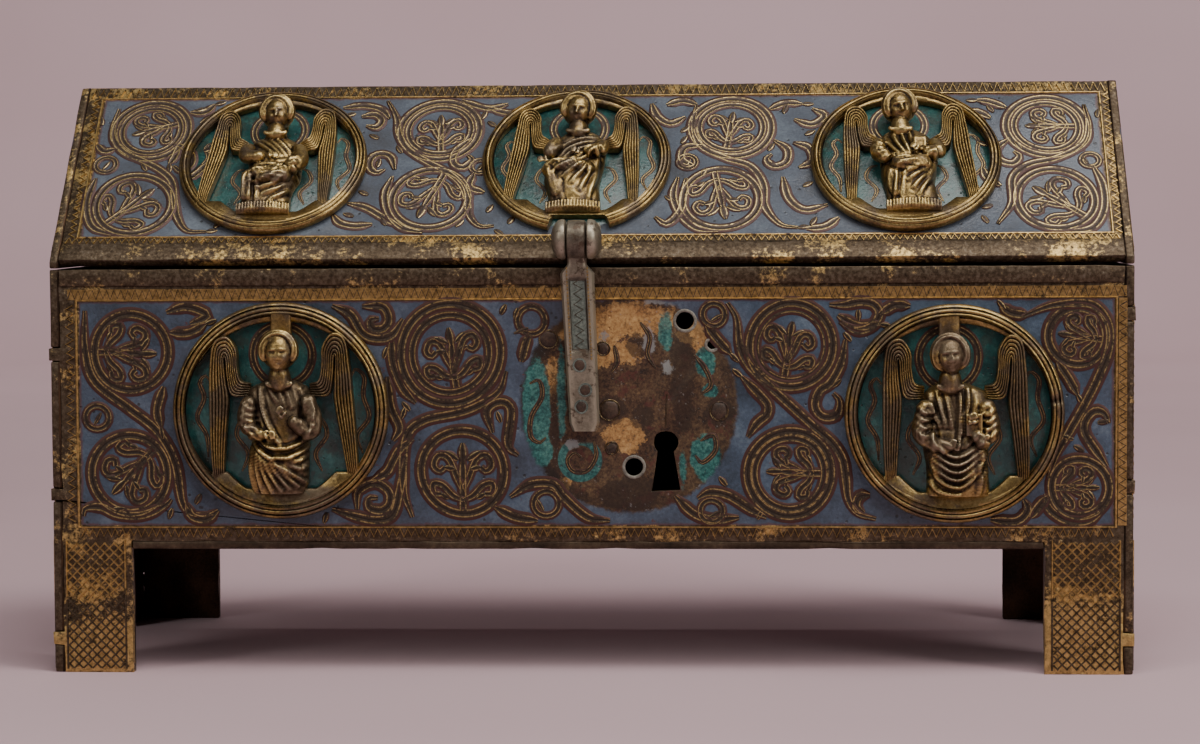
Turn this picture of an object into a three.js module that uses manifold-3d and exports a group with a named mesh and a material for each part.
// A medieval reliquary casket of gilt and enamelled copper plates, in millimetres.
// +Z is up, the front looks towards -Y, and the origin is below the middle of the casket.
// The box stands on four legs. The roof-shaped lid is hinged at the back, and a hasp hangs
// from its front. Five openwork medallions with winged figures sit on the front and the lid.
import * as THREE from 'three';
import { mergeVertices } from 'three/addons/utils/BufferGeometryUtils.js';
import Module from 'manifold-3d';

const wasm = await Module();
wasm.setup();

// Driving dimensions of the box
const casketLength = 300;
const casketDepth = 112;
const wallTop = 112.5;
const wallFoot = 36.8;
const frontPlateThickness = 3;
const backPlateThickness = 3;
const endPlateThickness = 3.2;
const floorThickness = 2.2;
const leftLegWidth = 22.5;
const rightLegWidth = 24.6;
const backLegWidth = 27;
const endLegWidth = 24;
const rimHeight = 4.7;
const rimThickness = 0.8;

// Tongues of the long plates, let into notches in the edges of the end plates
const tongueHeight = 3.5;
const frontLeftTongues = [9.6, 49.8, 88.8];
const frontRightTongues = [9.7, 51.8, 99.2];
const backTongues = [12, 50, 94];

// Openings through the front plate: the keyhole and three nail holes
const keyholeX = 21.5;
const keyholeZ = 64.1;
const keyholeRadius = 3.3;
const keyholeNeckWidth = 4.6;
const keyholeFootWidth = 8;
const keyholeFootZ = 50.8;
const nailHoles = [
  { x: 26.9, z: 97.7, radius: 2.5 },
  { x: 34.3, z: 91.1, radius: 1.4 },
  { x: 12.7, z: 57.4, radius: 2.5 },
];

// Driving dimensions of the lid
const lidFoot = 114.8;
const lidTop = 164.4;
const lidSlopeRun = 44.5;
const lidPlateThickness = 2.5;
const lidEndThickness = 3;
const sillHeight = 6;
const sillThickness = 0.5;

// Medallions: how far each is in from its own end of the casket, and its height up its plate
const frontMedallionRadius = 30;
const lidMedallionRadius = 26.7;
const frontLeftMedallionInset = 65;
const frontLeftMedallionZ = 73.3;
const frontRightMedallionInset = 49.5;
const frontRightMedallionZ = 72.1;
const lidLeftMedallionInset = 59.8;
const lidCentreMedallionX = -4;
const lidRightMedallionInset = 61.5;
const lidMedallionRise = 35.6;

// Hasp, its bracket on the lid and its pin
const haspX = -2.6;
const haspAxisOut = 4.2;
const haspAxisZ = 120.3;
const haspLugRadius = 5.5;
const haspLugThickness = 4;
const haspKnuckleWidth = 5.2;
const haspPinRadius = 1.5;
const haspArmTopWidth = 8.9;
const haspArmFootWidth = 7.5;
const haspArmFootZ = 67;
const haspArmLean = 2;
const haspArmThickness = 3.2;
const haspShoulderZ = 113.4;
const haspChannelWidth = 4.6;
const haspChannelDepth = 0.7;
const haspRivetHoleRadius = 1.4;
const haspRivetHeights = [85.8, 79, 74.4];
const bracketFootLength = 11;
const bracketFootThickness = 1.4;

// Back hinges
const hingeX = 95;
const hingeWidth = 14;
const hingePlateThickness = 1.6;
const hingeLeafLength = 45;
const hingeStrapLength = 40;
const hingeBarrelRadius = 3.2;
const hingePinRadius = 1.3;
const hingeAxisOut = 3.6;
const hingeAxisRise = 1;
const hingeKnuckleShare = 0.34;

// Clearances
const seatGap = 0.3;
const runningGap = 0.3;

// Worked-out places
const halfLength = casketLength / 2;
const halfDepth = casketDepth / 2;
const innerHalfLength = halfLength - endPlateThickness;
const lidInnerHalfLength = halfLength - lidEndThickness;
const lidTopHalfWidth = halfDepth - lidSlopeRun;
const slopeAngle = Math.atan2(lidTop - lidFoot, lidSlopeRun);
const leftLegEdge = -halfLength + leftLegWidth;
const rightLegEdge = halfLength - rightLegWidth;
const haspAxisY = -halfDepth - haspAxisOut;
const hingeAxisY = halfDepth + hingeAxisOut;
const hingeAxisZ = wallTop + hingeAxisRise;

// The medallions are drawn at a radius of 30 and scaled from there; their relief is 10.6 high at that size
const reliefShare = 10.6 / 30;
const frontReach = Math.max(seatGap + reliefShare * frontMedallionRadius, haspAxisOut + haspLugRadius);
const backReach = hingeAxisOut + hingeBarrelRadius;
const originShift = (frontReach - backReach) / 2;

// Metal finishes
const enamelledCopper = new THREE.MeshStandardMaterial({ color: 0x5b6a7c, roughness: 0.45, metalness: 0.5 });
const gildedCopper = new THREE.MeshStandardMaterial({ color: 0x8a6c45, roughness: 0.42, metalness: 0.9 });
const wornCopper = new THREE.MeshStandardMaterial({ color: 0x5c4a3b, roughness: 0.5, metalness: 0.9 });
const darkIron = new THREE.MeshStandardMaterial({ color: 0x4a4542, roughness: 0.55, metalness: 0.8 });

// Turns one closed surface into a solid for joining and cutting
function solidOf(geometry) {
  const bare = geometry.clone();
  bare.deleteAttribute('normal');
  bare.deleteAttribute('uv');
  const merged = mergeVertices(bare, 1e-5);
  const vertProperties = new Float32Array(merged.attributes.position.array);
  const triVerts = new Uint32Array(merged.index.array);
  const mesh = new wasm.Mesh({ numProp: 3, vertProperties, triVerts });
  return new wasm.Manifold(mesh);
}

// Turns a solid back into a surface
function geometryOf(solid) {
  const mesh = solid.getMesh();
  const geometry = new THREE.BufferGeometry();
  geometry.setAttribute('position', new THREE.BufferAttribute(mesh.vertProperties, 3));
  geometry.setIndex(new THREE.BufferAttribute(mesh.triVerts, 1));
  return geometry;
}

function joined(solids) {
  return solids.reduce((whole, solid) => whole.add(solid));
}

function cut(solid, tools) {
  return tools.reduce((whole, tool) => whole.subtract(tool), solid);
}

// A box given by its lowest and highest corners
function block(low, high) {
  const size = high.map((value, i) => value - low[i]);
  const geometry = new THREE.BoxGeometry(...size);
  geometry.translate(...low.map((value, i) => value + size[i] / 2));
  return solidOf(geometry);
}

// A round bar along X
function barX(centreX, y, z, radius, length, sides = 12) {
  const geometry = new THREE.CylinderGeometry(radius, radius, length, sides);
  geometry.rotateZ(Math.PI / 2);
  geometry.translate(centreX, y, z);
  return solidOf(geometry);
}

// A round bar along Y
function barY(x, centreY, z, radius, length, sides = 16) {
  const geometry = new THREE.CylinderGeometry(radius, radius, length, sides);
  geometry.translate(x, centreY, z);
  return solidOf(geometry);
}

function shapeOf(points) {
  return new THREE.Shape(points.map(([a, b]) => new THREE.Vector2(a, b)));
}

const sideBasis = new THREE.Matrix4().makeBasis(
  new THREE.Vector3(0, 1, 0),
  new THREE.Vector3(0, 0, 1),
  new THREE.Vector3(1, 0, 0),
);
const frontBasis = new THREE.Matrix4().makeBasis(
  new THREE.Vector3(1, 0, 0),
  new THREE.Vector3(0, 0, 1),
  new THREE.Vector3(0, -1, 0),
);

// A shape in the YZ plane, carried along X from one place to another
function alongX(shape, fromX, toX, curveSegments = 6) {
  const options = { depth: toX - fromX, bevelEnabled: false, curveSegments };
  const geometry = new THREE.ExtrudeGeometry(shape, options);
  geometry.applyMatrix4(sideBasis);
  geometry.translate(fromX, 0, 0);
  return solidOf(geometry);
}

// A shape in the XZ plane, carried along Y from one place to another
function alongY(shape, fromY, toY, curveSegments = 6) {
  const options = { depth: toY - fromY, bevelEnabled: false, curveSegments };
  const geometry = new THREE.ExtrudeGeometry(shape, options);
  geometry.applyMatrix4(frontBasis);
  geometry.translate(0, toY, 0);
  return solidOf(geometry);
}

// A shape in the XY plane, carried up Z from one place to another
function alongZ(shape, fromZ, toZ, curveSegments = 6) {
  const options = { depth: toZ - fromZ, bevelEnabled: false, curveSegments };
  const geometry = new THREE.ExtrudeGeometry(shape, options);
  geometry.translate(0, 0, fromZ);
  return solidOf(geometry);
}

// A closed skin over a row of closed sections: capped at its two ends, or a loop without ends
function skin(rings, loop = false) {
  const sides = rings[0].length;
  const points = rings.flat();
  const indices = [];
  const spans = loop ? rings.length : rings.length - 1;
  for (let row = 0; row < spans; row += 1) {
    const nextRow = (row + 1) % rings.length;
    for (let i = 0; i < sides; i += 1) {
      const j = (i + 1) % sides;
      const [a, b] = [row * sides + i, row * sides + j];
      const [c, d] = [nextRow * sides + i, nextRow * sides + j];
      indices.push(a, b, c, b, d, c);
    }
  }
  const lastRow = (rings.length - 1) * sides;
  for (let i = 1; i < sides - 1 && !loop; i += 1) {
    indices.push(0, i + 1, i);
    indices.push(lastRow, lastRow + i, lastRow + i + 1);
  }
  let sixVolumes = 0;
  for (let i = 0; i < indices.length; i += 3) {
    const [a, b, c] = [points[indices[i]], points[indices[i + 1]], points[indices[i + 2]]];
    sixVolumes += new THREE.Vector3(...a).dot(new THREE.Vector3(...b).cross(new THREE.Vector3(...c)));
  }
  if (sixVolumes < 0) {
    indices.reverse();
  }
  const geometry = new THREE.BufferGeometry();
  geometry.setAttribute('position', new THREE.Float32BufferAttribute(points.flat(), 3));
  geometry.setIndex(indices);
  return solidOf(geometry);
}

// A limb, fold or cord of metal: round sections along a smooth line of [x, y, z, radius]
function limb(stations, sides = 6, steps = 5) {
  const line = new THREE.CatmullRomCurve3(stations.map(([x, y, z]) => new THREE.Vector3(x, y, z)));
  const rings = [];
  for (let step = 0; step <= steps; step += 1) {
    const share = step / steps;
    const centre = line.getPoint(share);
    const along = line.getTangent(share);
    const across = new THREE.Vector3().crossVectors(along, new THREE.Vector3(0, 0, 1)).normalize();
    const over = new THREE.Vector3().crossVectors(across, along).normalize();
    const place = share * (stations.length - 1);
    const before = Math.min(Math.floor(place), stations.length - 2);
    const radius = THREE.MathUtils.lerp(stations[before][3], stations[before + 1][3], place - before);
    const ring = [];
    for (let i = 0; i < sides; i += 1) {
      const angle = (2 * Math.PI * i) / sides;
      const point = centre.clone();
      point.addScaledVector(across, radius * Math.cos(angle));
      point.addScaledVector(over, radius * Math.sin(angle));
      ring.push(point.toArray());
    }
    rings.push(ring);
  }
  return skin(rings);
}

function egg(centre, radii, lean, wide = 8, high = 5) {
  const geometry = new THREE.SphereGeometry(1, wide, high);
  geometry.scale(...radii);
  geometry.rotateZ(lean);
  geometry.translate(...centre);
  return solidOf(geometry);
}

// The ring of a medallion: a moulded rim, an inner band with an oval opening, and a ledge below
function medallionRing(figure) {
  const rings = [];
  const steps = 24;
  for (let i = 0; i < steps; i += 1) {
    const angle = (2 * Math.PI * i) / steps;
    const opening = 1 / Math.hypot(Math.cos(angle) / 26.5, Math.sin(angle) / 24.6);
    const profile = [[opening, 0], [30, 0], [30, 2.2], [28.6, 3.4], [27, 2.8], [opening, 1.8]];
    rings.push(profile.map(([r, h]) => [r * Math.cos(angle), r * Math.sin(angle), h]));
  }
  const [leftTip, rightTip] = figure.wings.map((wing) => wing.tip);
  const ledge = shapeOf([
    [-18.6 - leftTip, -17.6], [-15.5 - leftTip, -17.4], [-12, -19], [-9.4, -21.4], [9.4, -21.8],
    [12.8, -19.2], [15.5 + rightTip, -16.8], [19.8 + rightTip, -16.4], [16, -22], [0, -27], [-16, -22],
  ]);
  return [skin(rings, true), alongZ(ledge, 0.2, 2.1)];
}

// One hanging wing: stepped feathers in section, a curled shoulder and a bridge to the body.
// Each row is [height, inner edge, outer edge, share of the tip's swing]
function medallionWing({ side, tip, top }) {
  const rows = [
    [-19.5, 15.9, 18.7, 1], [-6, 14.8, 19.5, 0.3], [4.2, 14, 19.4, 0], [9, 11.9, 19.3, 0],
    [15, 11.7, 18.9, 0], [21 + top, 14.6, 17.4, 0],
  ];
  const steps = [[0, 2.5], [0.45, 3.5], [0.5, 2.4], [1, 3.4]];
  const rings = rows.map(([y, inner, outer, swing]) => {
    const at = (share) => side * (THREE.MathUtils.lerp(inner, outer, share) + tip * swing);
    return [[at(0), y, 0.3], [at(1), y, 0.3], ...steps.map(([share, h]) => [at(share), y, h]).reverse()];
  });
  const bridge = [7.5, 14.4].map((x) => side * x).sort((a, b) => a - b);
  return [skin(rings), block([bridge[0], 3.9, 0.35], [bridge[1], 7.9, 2.6])];
}

// The robed body: half-round sections from the hem up to the neck
function medallionBody(figure) {
  const arcPoints = 6;
  const rings = figure.body.map(([y, x, halfWidth, depth]) => {
    const ring = [];
    for (let i = 0; i <= arcPoints; i += 1) {
      const angle = (Math.PI * i) / arcPoints;
      ring.push([x + halfWidth * Math.cos(angle), y, 0.4 + depth * Math.sin(angle) ** 0.8]);
    }
    return ring;
  });
  return skin(rings);
}

// Head with rolled hair and a neck, held to the ring by a tab behind it
function medallionHead({ head }) {
  const lean = THREE.MathUtils.degToRad(head.lean);
  const { x, y, z } = head;
  return [
    egg([x, y, z], [4.2, 5.4, 4.2], lean),
    egg([x, y + 0.9, z - 1], [5.5, 5.7, 4], lean),
    limb([[figureNeckX(head), 6.5, 4, 3], [x, y - 2, z - 0.8, 2.4]], 6, 1),
    block([x - 3.2, y - 3, 0.5], [x + 3.2, 27.4, 2.7]),
  ];
}

function figureNeckX({ x, lean }) {
  return x + lean * 0.05;
}

function medallionSolid(figure) {
  const parts = [
    ...medallionRing(figure),
    ...figure.wings.flatMap(medallionWing),
    medallionBody(figure),
    ...medallionHead(figure),
    ...figure.limbs.map((stations) => limb(stations, 4, 3)),
    ...figure.folds.map((stations) => limb(stations, 3, 3)),
  ];
  if (figure.hemY !== undefined) {
    const hem = figure.body[0];
    parts.push(block([hem[1] - hem[2], figure.hemY - 3, 0.4], [hem[1] + hem[2], figure.hemY, 5.2]));
  }
  const floor = block([-40, -40, -5], [40, 40, 0]);
  const solid = cut(joined(parts), [floor]);
  if (figure.ringGap === undefined) {
    return solid;
  }
  const { fromX, toX, height } = figure.ringGap;
  return cut(solid, [block([fromX, -40, -5], [toX, height, 20])]);
}

// Poses of the five figures
const figures = {
  medallion_front_left: {
    wings: [{ side: -1, tip: 0, top: 0 }, { side: 1, tip: 3, top: 1 }],
    head: { x: 0.4, y: 16.9, z: 6, lean: 0 },
    body: [
      [-22.6, 0.2, 8.8, 4.2], [-19, 0, 8.6, 5.8], [-14.5, -0.4, 8.2, 7.4], [-10.5, -0.2, 7.8, 8],
      [-6, 0.3, 7.8, 7], [-1, 0, 8.3, 6.6], [3.5, -0.3, 8.9, 6], [6.4, -0.2, 8, 5.2], [8.3, 0.2, 4, 4.6],
    ],
    limbs: [
      [[-7.6, 4.2, 4, 2.6], [-8.8, -2, 5.6, 2.8], [-6.5, -5.6, 7.2, 2.4], [-2, -4.4, 8.4, 1.5]],
      [[7.4, 4.4, 4, 2.5], [9.4, -2, 5, 2.6], [8.8, -7.4, 6.4, 2.7], [2.4, -9.6, 8.2, 1.6]],
    ],
    folds: [
      [[-4.6, 6.4, 6, 0.8], [-4, 0, 7.6, 0.8], [-1, -6, 8.2, 0.8], [1, -9.4, 8.4, 0.7]],
      [[4.2, 5, 6.2, 0.9], [1, 2.6, 7.2, 0.8], [-3, 4, 6.8, 0.7]],
      [[-5.6, -8.6, 7.4, 0.9], [-4.4, -14, 7.6, 0.9], [0, -20, 6.4, 0.8], [3, -21.4, 5.2, 0.7]],
      [[-4.8, -9.6, 8, 0.9], [0, -13.6, 8.4, 1], [5, -17.6, 6.6, 0.9]],
    ],
  },
  medallion_front_right: {
    wings: [{ side: -1, tip: 0, top: 0 }, { side: 1, tip: 1.6, top: 1 }],
    head: { x: -1.4, y: 16.6, z: 6, lean: 6 },
    body: [
      [-22.6, 1, 8.8, 4.4], [-18.6, 1, 8.6, 6.2], [-14, 0.6, 8.4, 7.8], [-9.6, 0.4, 9, 7.8],
      [-5, 0, 9, 6.8], [0, 0.4, 8.8, 6.4], [3.8, 0.4, 8.8, 6], [6.4, 0.2, 7.8, 5.2], [8.3, -0.6, 4, 4.6],
    ],
    limbs: [
      [[-7.4, 4, 4, 2.5], [-9.2, -4.6, 5.4, 2.8], [-5, -8, 7.4, 2.2], [0, -8.6, 8.6, 1.5]],
      [[8, 4, 4, 2.5], [9.8, -3.4, 5, 2.7], [7.6, -8.4, 7.2, 2.4], [2.6, -9, 8.8, 1.6]],
    ],
    folds: [
      [[1.6, 6, 6, 1], [1.8, 0, 7.8, 1.1], [1, -8, 8.8, 0.9]],
      [[-6, -1, 6, 0.8], [-5, -8, 8, 0.9], [0, -12.6, 8.8, 0.9], [6, -9.6, 7.8, 0.8], [8.6, -4, 5.6, 0.7]],
      [[-7, -6, 5.2, 0.8], [-4.6, -12, 8, 0.9], [1, -15.4, 8.6, 0.9], [7.2, -11, 6.8, 0.8]],
      [[8.4, -5, 5, 0.8], [8.6, -13, 5, 0.9], [8.2, -21.4, 3.4, 0.8]],
    ],
  },
  medallion_lid_left: {
    wings: [{ side: -1, tip: 4, top: 0 }, { side: 1, tip: 0, top: 0.6 }],
    head: { x: 0.6, y: 16.6, z: 6, lean: 4 },
    body: [
      [-20.6, -1, 8.4, 4.4], [-17, -0.8, 8, 5.8], [-12.6, -0.4, 8, 7.4], [-8.4, 0.6, 8.8, 8],
      [-4, 1, 8.6, 6.8], [1, 0.6, 8.6, 6.2], [4.4, 0.4, 8.4, 5.8], [6.6, 0.4, 7.4, 5], [8.3, 0.6, 3.8, 4.6],
    ],
    limbs: [
      [[-7, 4, 4, 2.5], [-7.6, -1.6, 5.8, 2.6], [-1.6, -3.6, 8, 1.7]],
      [[7.8, 4, 4, 2.5], [9.4, -3, 5, 2.7], [6, -8.6, 7.6, 2.8]],
      [[7, -9, 5.6, 3.4], [0, -11.4, 7.6, 2.6], [-5.4, -9, 7.4, 2.4]],
      [[-5.6, -8.6, 7, 2.4], [-6.4, -14, 5.8, 2.2], [-6, -19.4, 4, 1.8]],
    ],
    folds: [
      [[9, -3.6, 5.4, 0.9], [3.6, -7.4, 8.6, 0.9], [-4.6, -6.6, 8, 0.8]],
      [[-3, -8, 8.6, 0.8], [0.6, -13, 7.4, 0.8], [-0.6, -18, 5.6, 0.7]],
      [[-4.6, -10, 8, 0.8], [-2.8, -15, 6.8, 0.8], [-5, -19.6, 5, 0.7]],
    ],
    hemY: -20,
  },
  medallion_lid_centre: {
    wings: [{ side: -1, tip: 4, top: 0 }, { side: 1, tip: 1, top: 0.6 }],
    head: { x: 0.8, y: 18.4, z: 6, lean: -6 },
    body: [
      [-20.6, -0.4, 8.6, 4.4], [-17, -0.2, 8.2, 6], [-12.4, -0.8, 8.4, 7.6], [-8, -1, 9, 7.8],
      [-3.6, 0.2, 8.6, 6.8], [1, 0.8, 8.2, 6.4], [4.6, 1, 7.8, 6], [7, 1.2, 6.8, 5.2], [8.8, 1.2, 3.8, 4.6],
    ],
    limbs: [
      [[-5.4, 5, 4.4, 2.5], [-7.4, 0.6, 6, 2.6], [-8.6, -3.6, 7, 2.2]],
      [[7.8, 4.6, 4, 2.6], [7.6, 0, 6, 2.5], [2.6, -2, 8.2, 1.7]],
      [[6, -8, 5, 3], [-2, -7.6, 7.8, 2.8], [-9.6, -6.4, 7.4, 2.6]],
      [[-9.2, -6.6, 6.6, 2.4], [-6.4, -13, 5.4, 2.2], [-5, -18.6, 4, 1.8]],
    ],
    folds: [
      [[6.6, 6.2, 5.4, 0.8], [1.6, 3.8, 7.4, 0.8], [-3.6, 0.4, 7.6, 0.8], [-5, -2.6, 7.6, 0.7]],
      [[7, -0.6, 6, 0.8], [3.8, -7.4, 8.2, 0.9], [-3, -12.6, 7.6, 0.8]],
      [[7.8, -1, 5.4, 0.8], [6, -9, 7, 0.9], [1.6, -17, 6, 0.8]],
    ],
    hemY: -20,
    ringGap: { height: -24 },
  },
  medallion_lid_right: {
    wings: [{ side: -1, tip: 0, top: 0 }, { side: 1, tip: 3.6, top: 1 }],
    head: { x: -1.8, y: 18.6, z: 6, lean: 12 },
    body: [
      [-20.6, 1.8, 8.6, 4.4], [-17, 1.6, 8, 6], [-12.4, 0.8, 8, 7.6], [-8, 0.6, 8.6, 7.8],
      [-3.6, 0.8, 8.8, 6.8], [1, 0.4, 8.8, 6.4], [4.6, 0.2, 8.6, 6], [7, -0.2, 7.2, 5.2], [8.8, -0.8, 3.8, 4.6],
    ],
    limbs: [
      [[-7.6, 4.6, 4, 2.5], [-9, -1, 5.4, 2.6], [-5.4, -5.6, 7.2, 2.2]],
      [[8, 4.6, 4, 2.6], [9.8, -1, 5.2, 2.7], [5.2, -3.2, 8, 1.8]],
      [[7.4, -6, 5, 3], [0, -8, 7.8, 2.8], [-5, -8.4, 7.4, 2.4]],
      [[-4.6, -9, 6.6, 2.4], [-4, -14, 5.4, 2.2], [-3.6, -19, 4, 1.8]],
    ],
    folds: [
      [[2.6, 7, 6, 0.8], [2.2, 2, 7.4, 0.8], [2.6, -3, 7.8, 0.7]],
      [[9, -1.6, 5.4, 0.8], [4, -7.6, 8.4, 0.9], [-3.6, -14.6, 6.6, 0.8]],
      [[9.2, -2, 5, 0.8], [6.8, -10, 6.8, 0.9], [3, -18.4, 5.6, 0.8]],
    ],
    hemY: -20,
  },
};

// The front plate: two legs, three tongues at each end, the keyhole and the nail holes
function frontPlate() {
  const half = tongueHeight / 2;
  const rightSteps = frontRightTongues.flatMap((z) => [
    [innerHalfLength, z - half], [halfLength, z - half], [halfLength, z + half], [innerHalfLength, z + half],
  ]);
  const leftSteps = frontLeftTongues.flatMap((z) => [
    [-innerHalfLength, z - half], [-halfLength, z - half], [-halfLength, z + half], [-innerHalfLength, z + half],
  ]);
  const plate = shapeOf([
    [-innerHalfLength, 0], [leftLegEdge, 0], [leftLegEdge, wallFoot], [rightLegEdge, wallFoot],
    [rightLegEdge, 0], [innerHalfLength, 0], ...rightSteps,
    [innerHalfLength, wallTop], [-innerHalfLength, wallTop], ...leftSteps.reverse(),
  ]);
  plate.holes.push(keyholePath());
  for (const hole of nailHoles) {
    const path = new THREE.Path();
    path.absarc(hole.x, hole.z, hole.radius, 0, 2 * Math.PI, true);
    plate.holes.push(path);
  }
  return alongY(plate, -halfDepth, -halfDepth + frontPlateThickness);
}

function keyholePath() {
  const path = new THREE.Path();
  const neckAngle = Math.asin(keyholeNeckWidth / 2 / keyholeRadius);
  const neckTop = keyholeZ - keyholeRadius * Math.cos(neckAngle);
  path.moveTo(keyholeX - keyholeFootWidth / 2, keyholeFootZ);
  path.lineTo(keyholeX + keyholeFootWidth / 2, keyholeFootZ);
  path.lineTo(keyholeX + keyholeNeckWidth / 2, neckTop);
  path.absarc(keyholeX, keyholeZ, keyholeRadius, -Math.PI / 2 + neckAngle, 1.5 * Math.PI - neckAngle, false);
  return path;
}

function backPlate() {
  const half = tongueHeight / 2;
  const legEdge = halfLength - backLegWidth;
  const steps = (sign) => backTongues.flatMap((z) => [
    [sign * innerHalfLength, z - half], [sign * halfLength, z - half],
    [sign * halfLength, z + half], [sign * innerHalfLength, z + half],
  ]);
  const plate = shapeOf([
    [-innerHalfLength, 0], [-legEdge, 0], [-legEdge, wallFoot], [legEdge, wallFoot],
    [legEdge, 0], [innerHalfLength, 0], ...steps(1),
    [innerHalfLength, wallTop], [-innerHalfLength, wallTop], ...steps(-1).reverse(),
  ]);
  return alongY(plate, halfDepth - backPlateThickness, halfDepth);
}

// An end plate with its two legs, notched for the tongues of the long plates
function endPlate(sign, frontTongues) {
  const legEdge = halfDepth - endLegWidth;
  const plate = shapeOf([
    [-halfDepth, 0], [-legEdge, 0], [-legEdge, wallFoot], [legEdge, wallFoot],
    [legEdge, 0], [halfDepth, 0], [halfDepth, wallTop], [-halfDepth, wallTop],
  ]);
  const [fromX, toX] = sign > 0 ? [innerHalfLength, halfLength] : [-halfLength, -innerHalfLength];
  const notch = (z, fromY, toY) => block(
    [fromX - 1, fromY, z - tongueHeight / 2 - seatGap],
    [toX + 1, toY, z + tongueHeight / 2 + seatGap],
  );
  const frontNotchEnd = -halfDepth + frontPlateThickness + seatGap;
  const backNotchStart = halfDepth - backPlateThickness - seatGap;
  return cut(alongX(plate, fromX, toX), [
    ...frontTongues.map((z) => notch(z, -halfDepth - 1, frontNotchEnd)),
    ...backTongues.map((z) => notch(z, backNotchStart, halfDepth + 1)),
  ]);
}

// The floor: it fills the box and passes under the walls between the legs
function floorPlate() {
  const low = wallFoot - floorThickness;
  const endReach = halfDepth - endLegWidth - seatGap;
  const backReachX = halfLength - backLegWidth - seatGap;
  const inner = [innerHalfLength - seatGap, halfDepth - seatGap];
  const parts = [
    block(
      [-inner[0], -inner[1] + frontPlateThickness, low],
      [inner[0], inner[1] - backPlateThickness, wallFoot],
    ),
    block([leftLegEdge + seatGap, -halfDepth, low], [rightLegEdge - seatGap, 0, wallFoot]),
    block([-backReachX, 0, low], [backReachX, halfDepth, wallFoot]),
    block([-halfLength, -endReach, low], [halfLength, endReach, wallFoot]),
  ];
  return joined(parts);
}

function rimStrip() {
  return block(
    [-innerHalfLength, -halfDepth - rimThickness, wallTop - rimHeight],
    [innerHalfLength, -halfDepth, wallTop],
  );
}

// A sloping lid plate in section, for the front (sign -1) or the back (sign 1)
function slopePoints(sign) {
  const along = [Math.cos(slopeAngle), Math.sin(slopeAngle)];
  const inwards = [Math.sin(slopeAngle), -Math.cos(slopeAngle)];
  const foot = [-halfDepth, lidFoot];
  const at = (up, deep) => [
    foot[0] + along[0] * up + inwards[0] * deep,
    foot[1] + along[1] * up + inwards[1] * deep,
  ];
  const innerTopUp = (lidTop - lidPlateThickness - at(0, lidPlateThickness)[1]) / along[1];
  const innerTop = at(innerTopUp, lidPlateThickness);
  const outerTop = [-lidTopHalfWidth, lidTop];
  const flip = ([y, z]) => [-sign * y, z];
  return { at: (up, deep) => flip(at(up, deep)), outerTop: flip(outerTop), innerTop: flip(innerTop) };
}

function lidFrontPlate() {
  const { at, outerTop, innerTop } = slopePoints(-1);
  const section = shapeOf([
    at(0, lidPlateThickness), at(0, -sillThickness), at(sillHeight, -sillThickness), at(sillHeight, 0),
    outerTop, innerTop,
  ].reverse());
  return alongX(section, -lidInnerHalfLength, lidInnerHalfLength);
}

function lidBackPlate() {
  const { at, outerTop, innerTop } = slopePoints(1);
  const section = shapeOf([at(0, lidPlateThickness), at(0, 0), outerTop, innerTop]);
  return alongX(section, -lidInnerHalfLength, lidInnerHalfLength);
}

function lidTopPlate() {
  const front = slopePoints(-1);
  const back = slopePoints(1);
  const section = shapeOf([front.innerTop, back.innerTop, back.outerTop, front.outerTop]);
  return alongX(section, -lidInnerHalfLength, lidInnerHalfLength);
}

function lidEnd(sign) {
  const low = wallTop + seatGap;
  const section = shapeOf([
    [-halfDepth, low], [halfDepth, low], [halfDepth, lidFoot],
    [lidTopHalfWidth, lidTop], [-lidTopHalfWidth, lidTop], [-halfDepth, lidFoot],
  ]);
  const [fromX, toX] = sign > 0 ? [lidInnerHalfLength, halfLength] : [-halfLength, -lidInnerHalfLength];
  return alongX(section, fromX, toX);
}

// One domed lug of the hasp bracket: round about the pin, narrower at its outer end
function bracketLug(sign) {
  const profile = [
    [0, 0], [haspLugRadius, 0], [haspLugRadius * 0.94, haspLugThickness * 0.5],
    [haspLugRadius * 0.6, haspLugThickness], [0, haspLugThickness],
  ];
  const dome = new THREE.LatheGeometry(profile.map(([r, h]) => new THREE.Vector2(r, h)), 14);
  dome.rotateZ(-sign * Math.PI / 2);
  const inner = haspKnuckleWidth / 2 + runningGap;
  dome.translate(haspX + sign * inner, haspAxisY, haspAxisZ);
  const { at } = slopePoints(-1);
  const [low, high] = [sillHeight + seatGap, bracketFootLength];
  const web = shapeOf([
    [haspAxisY + 2, haspAxisZ - haspLugRadius * 0.82], at(low, -sillThickness - seatGap),
    at(low, -seatGap), at(high, -seatGap),
    at(high, -bracketFootThickness), [haspAxisY + 1, haspAxisZ + haspLugRadius * 0.9], [haspAxisY, haspAxisZ],
  ]);
  const near = haspX + sign * inner;
  const far = haspX + sign * (inner + haspLugThickness * 0.8);
  return solidOf(dome).add(alongX(web, Math.min(near, far), Math.max(near, far)));
}

// The bracket: two lugs on one foot that lies on the lid above its sill
function haspBracket() {
  const { at } = slopePoints(-1);
  const low = sillHeight + seatGap;
  const foot = shapeOf([
    at(low, -seatGap), at(bracketFootLength, -seatGap),
    at(bracketFootLength, -bracketFootThickness), at(low, -bracketFootThickness),
  ]);
  const reach = haspKnuckleWidth / 2 + runningGap + haspLugThickness * 0.8;
  const solid = joined([bracketLug(-1), bracketLug(1), alongX(foot, haspX - reach, haspX + reach)]);
  const bore = barX(haspX, haspAxisY, haspAxisZ, haspPinRadius + runningGap / 2, 40, 12);
  const sweep = barX(haspX, haspAxisY, haspAxisZ, haspLugRadius + runningGap, haspKnuckleWidth + 2 * runningGap);
  return cut(solid, [bore, sweep]);
}

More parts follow.
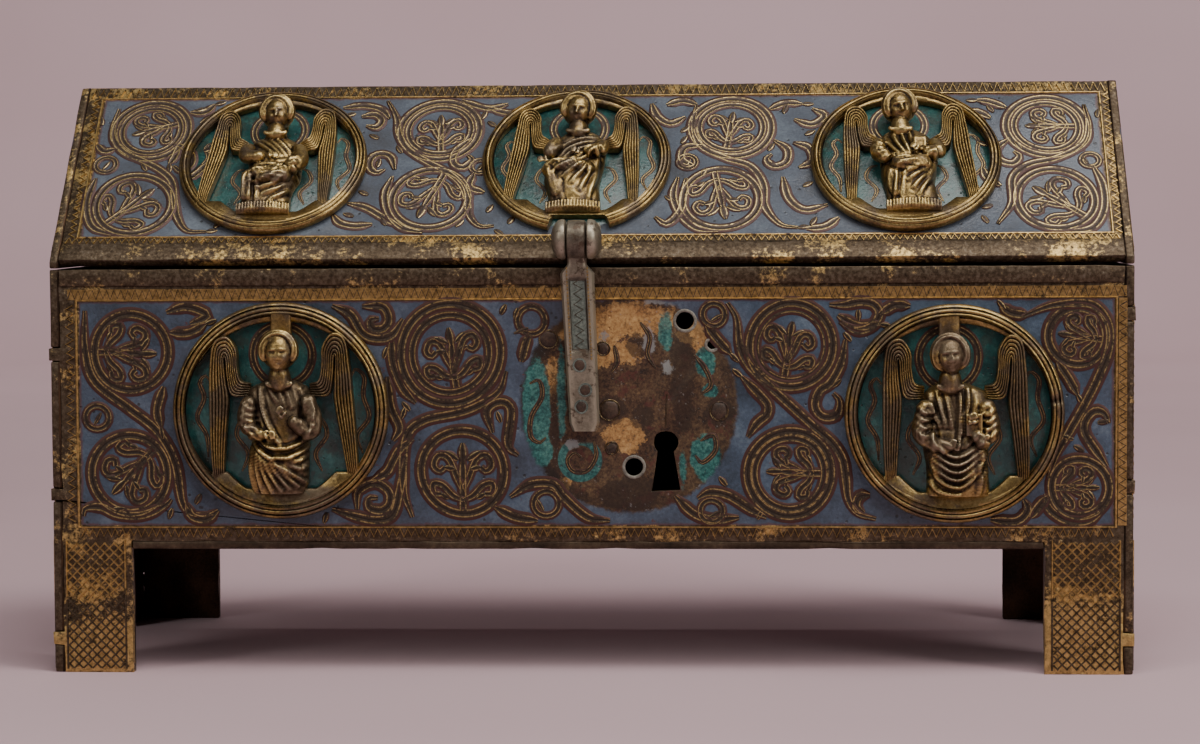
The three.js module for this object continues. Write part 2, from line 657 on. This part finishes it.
function haspPin() {
  const length = haspKnuckleWidth + 2 * (runningGap + haspLugThickness) - 1;
  return barX(haspX, haspAxisY, haspAxisZ, haspPinRadius, length, 12);
}

// The hasp: a knuckle, two shoulders and a tapering strap with a sunk channel and three holes
function haspArm() {
  const backY = -halfDepth - rimThickness - 0.7;
  const frontY = backY - haspArmThickness;
  const knuckleHalf = haspKnuckleWidth / 2;
  const footX = haspX + haspArmLean;
  const centreAt = (z) => THREE.MathUtils.mapLinear(z, haspShoulderZ, haspArmFootZ, haspX, footX);
  const widthAt = (z) => THREE.MathUtils.mapLinear(
    z, haspShoulderZ, haspArmFootZ, haspArmTopWidth, haspArmFootWidth,
  );
  const edge = (z, sign) => [centreAt(z) + sign * widthAt(z) / 2, z];
  const strap = shapeOf([
    edge(haspArmFootZ + 1.6, -1), [footX - 1.4, haspArmFootZ], [footX + 2, haspArmFootZ + 0.5],
    edge(haspArmFootZ + 2.4, 1), edge(haspShoulderZ - 1.6, 1),
    [haspX + knuckleHalf, haspShoulderZ + 1], [haspX + knuckleHalf, haspAxisZ],
    [haspX - knuckleHalf, haspAxisZ], [haspX - knuckleHalf, haspShoulderZ + 1], edge(haspShoulderZ - 1.6, -1),
  ]);
  const channelTop = haspShoulderZ - 3;
  const channelFoot = haspRivetHeights[0] + 3;
  const side = (z, sign) => [centreAt(z) + sign * haspChannelWidth / 2, z];
  const channel = shapeOf([
    side(channelFoot, -1), side(channelFoot, 1), side(channelTop, 1), side(channelTop, -1),
  ]);
  const knuckle = barX(haspX, haspAxisY, haspAxisZ, haspLugRadius - 0.2, haspKnuckleWidth);
  const solid = joined([alongY(strap, frontY, backY), knuckle]);
  const holes = haspRivetHeights.map((z, i) => barY(
    centreAt(z) + (i === 1 ? 0.9 : -0.4), frontY, z, haspRivetHoleRadius, 20, 10,
  ));
  return cut(solid, [
    alongY(channel, frontY - 1, frontY + haspChannelDepth),
    barX(haspX, haspAxisY, haspAxisZ, haspPinRadius + runningGap / 2, 40, 12),
    ...holes,
  ]);
}

// The lower half of a back hinge: a leaf on the box and the two outer knuckles
function hingeLeaf(centreX) {
  const knuckleHalf = hingeWidth * hingeKnuckleShare / 2;
  const half = hingeWidth / 2;
  const leafTop = hingeAxisZ - hingeBarrelRadius - runningGap;
  const leaf = block(
    [centreX - half, halfDepth, leafTop - hingeLeafLength],
    [centreX + half, halfDepth + hingePlateThickness, leafTop],
  );
  const knuckles = [-1, 1].flatMap((sign) => {
    const near = centreX + sign * knuckleHalf;
    const far = centreX + sign * half;
    const [low, high] = [Math.min(near, far), Math.max(near, far)];
    return [
      barX((low + high) / 2, hingeAxisY, hingeAxisZ, hingeBarrelRadius, high - low),
      block([low, halfDepth, leafTop - 2], [high, halfDepth + hingePlateThickness, hingeAxisZ]),
    ];
  });
  const bore = barX(centreX, hingeAxisY, hingeAxisZ, hingePinRadius + runningGap / 2, 2 * hingeWidth, 8);
  return cut(joined([leaf, ...knuckles]), [bore]);
}

// The upper half of a back hinge: a strap on the lid's back slope and the middle knuckle
function hingeStrap(centreX) {
  const { at } = slopePoints(1);
  const knuckleHalf = hingeWidth * hingeKnuckleShare / 2 - runningGap;
  const half = hingeWidth / 2;
  const low = hingeBarrelRadius;
  const outside = -seatGap - hingePlateThickness;
  const strap = shapeOf([
    at(low, -seatGap), at(low, outside), at(hingeStrapLength, outside), at(hingeStrapLength, -seatGap),
  ]);
  const neck = shapeOf([
    [hingeAxisY - hingeBarrelRadius * 0.8, hingeAxisZ], [hingeAxisY + hingeBarrelRadius * 0.8, hingeAxisZ],
    at(low + 4, outside), at(low + 4, -seatGap), at(0.6, -seatGap),
  ]);
  const solid = joined([
    alongX(strap, centreX - half, centreX + half),
    alongX(neck, centreX - knuckleHalf, centreX + knuckleHalf),
    barX(centreX, hingeAxisY, hingeAxisZ, hingeBarrelRadius, 2 * knuckleHalf),
  ]);
  const sweeps = [-1, 1].map((sign) => barX(
    centreX + sign * (half / 2 + knuckleHalf / 2 + 0.5), hingeAxisY, hingeAxisZ,
    hingeBarrelRadius + runningGap, half - knuckleHalf + 1,
  ));
  const bore = barX(centreX, hingeAxisY, hingeAxisZ, hingePinRadius + runningGap / 2, 2 * hingeWidth, 8);
  return cut(solid, [bore, ...sweeps]);
}

const casket = new THREE.Group();
const body = new THREE.Group();
body.position.y = originShift;
casket.add(body);

function addPiece(parent, name, solid, material) {
  const mesh = new THREE.Mesh(geometryOf(solid), material);
  mesh.name = name;
  parent.add(mesh);
  return mesh;
}

addPiece(body, 'front_plate', frontPlate(), enamelledCopper);
addPiece(body, 'back_plate', backPlate(), enamelledCopper);
addPiece(body, 'left_end_plate', endPlate(-1, frontLeftTongues), enamelledCopper);
addPiece(body, 'right_end_plate', endPlate(1, frontRightTongues), enamelledCopper);
addPiece(body, 'floor_plate', floorPlate(), wornCopper);
addPiece(body, 'rim_strip', rimStrip(), gildedCopper);
addPiece(body, 'lid_front_plate', lidFrontPlate(), enamelledCopper);
addPiece(body, 'lid_back_plate', lidBackPlate(), enamelledCopper);
addPiece(body, 'lid_top_plate', lidTopPlate(), enamelledCopper);
addPiece(body, 'lid_left_end', lidEnd(-1), enamelledCopper);
addPiece(body, 'lid_right_end', lidEnd(1), enamelledCopper);
addPiece(body, 'hasp_bracket', haspBracket(), darkIron);
addPiece(body, 'hasp_pin', haspPin(), darkIron);
addPiece(body, 'hasp_arm', haspArm(), darkIron);
for (const [side, sign] of [['left', -1], ['right', 1]]) {
  const centreX = sign * hingeX;
  addPiece(body, `hinge_leaf_${side}`, hingeLeaf(centreX), darkIron);
  addPiece(body, `hinge_strap_${side}`, hingeStrap(centreX), darkIron);
  const pin = barX(centreX, hingeAxisY, hingeAxisZ, hingePinRadius, hingeWidth, 8);
  addPiece(body, `hinge_pin_${side}`, pin, darkIron);
}

// Each medallion is modelled flat, then set on its plate
function addMedallion(name, radius, x, seatY, seatZ, tilt) {
  const figure = figures[name];
  const drawnRadius = 30;
  const scale = radius / drawnRadius;
  if (figure.ringGap) {
    const reach = haspKnuckleWidth / 2 + 2 * runningGap + haspLugThickness;
    figure.ringGap.fromX = (haspX - reach - x) / scale;
    figure.ringGap.toX = (haspX + reach - x) / scale;
  }
  const mesh = addPiece(new THREE.Group(), name, medallionSolid(figure), gildedCopper);
  mesh.geometry.scale(scale, scale, scale);
  const seat = mesh.parent;
  mesh.position.z = seatGap;
  seat.rotation.x = tilt;
  seat.position.set(x, seatY, seatZ);
  body.add(seat);
}

const frontPlaces = [
  ['medallion_front_left', -halfLength + frontLeftMedallionInset, frontLeftMedallionZ],
  ['medallion_front_right', halfLength - frontRightMedallionInset, frontRightMedallionZ],
];
for (const [name, x, z] of frontPlaces) {
  addMedallion(name, frontMedallionRadius, x, -halfDepth, z, Math.PI / 2);
}
const [lidSeatY, lidSeatZ] = slopePoints(-1).at(lidMedallionRise, 0);
const lidPlaces = [
  ['medallion_lid_left', -halfLength + lidLeftMedallionInset],
  ['medallion_lid_centre', lidCentreMedallionX],
  ['medallion_lid_right', halfLength - lidRightMedallionInset],
];
for (const [name, x] of lidPlaces) {
  addMedallion(name, lidMedallionRadius, x, lidSeatY, lidSeatZ, slopeAngle);
}

export default casket;
